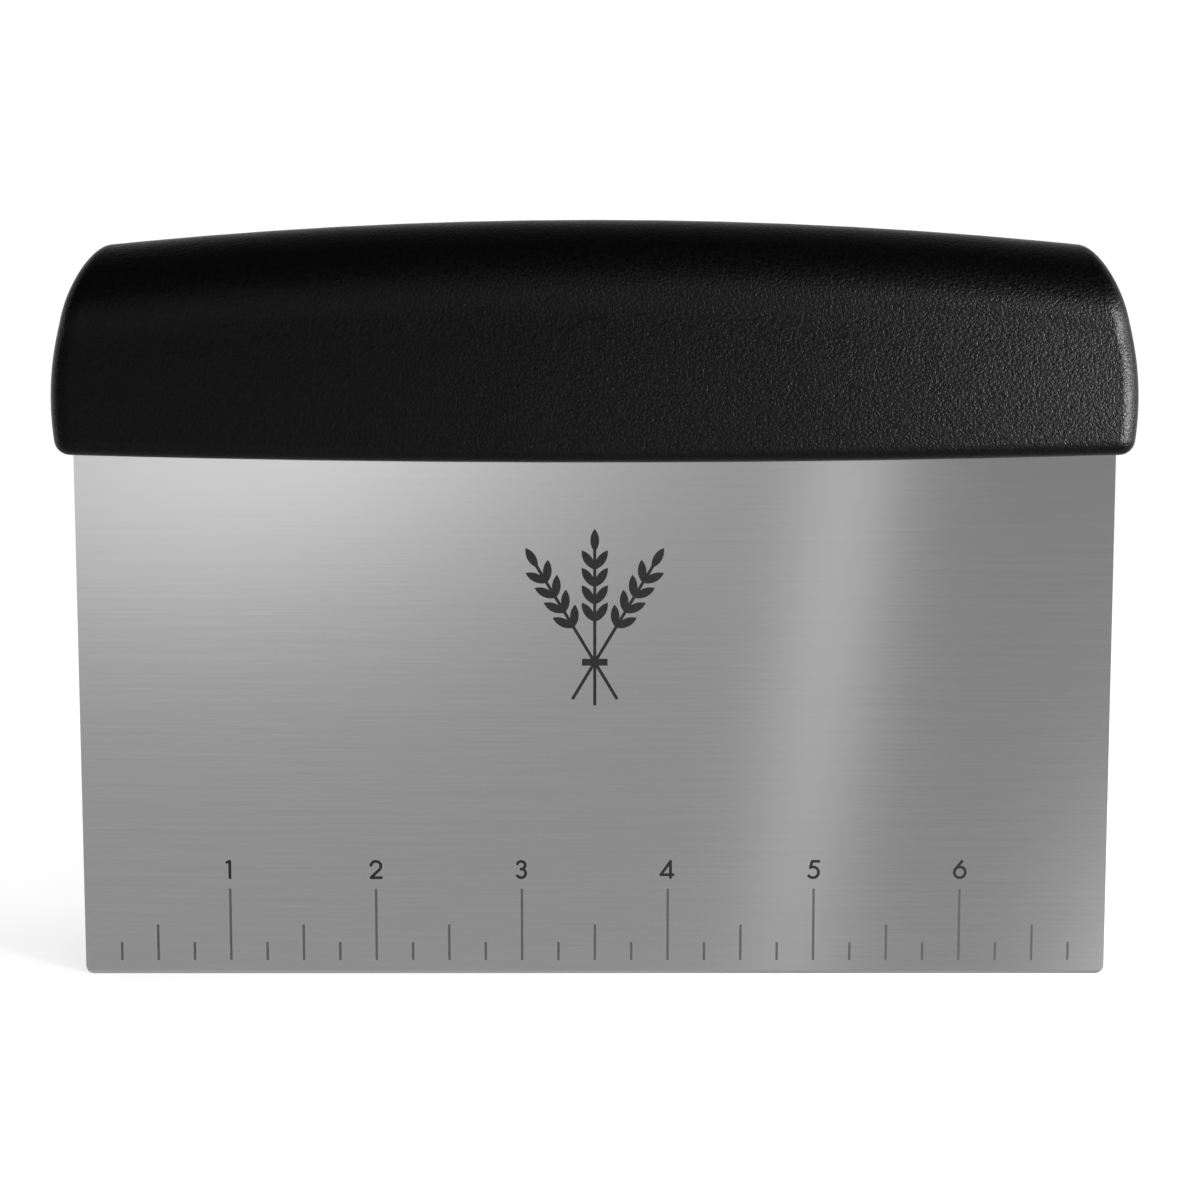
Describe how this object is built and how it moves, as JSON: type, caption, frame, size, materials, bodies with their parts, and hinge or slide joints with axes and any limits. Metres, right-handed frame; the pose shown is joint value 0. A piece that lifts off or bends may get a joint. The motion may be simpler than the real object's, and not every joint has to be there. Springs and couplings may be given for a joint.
{
  "type": "bench scraper",
  "caption": "Dough cutter with a straight satin stainless blade, an etched inch ruler along its working edge, and a grained black plastic handle moulded over the tang.",
  "frame": {"origin": "middle of the blade's working edge, in the blade's mid-plane", "axes": "+X along the working edge, so that the ruler counts up towards +X; +Z from the working edge up to the handle's crest; the side with the ruler faces -Y"},
  "size_m": [0.1816, 0.022, 0.1301],
  "materials": {
    "blade_steel": "satin, finely brushed along the blade's width",
    "handle_plastic": "fine moulded grain, low sheen",
    "etched_line": "matt grey etch",
    "etched_dark": "matt black etch"
  },
  "bodies": {
    "root": {"blade": "blade_steel", "handle": "handle_plastic", "inch_lines": "etched_line", "half_inch_lines": "etched_line", "quarter_inch_lines": "etched_line", "ruler_numerals": "etched_dark", "wheat_mark": "etched_dark"}
  },
  "joints": []
}
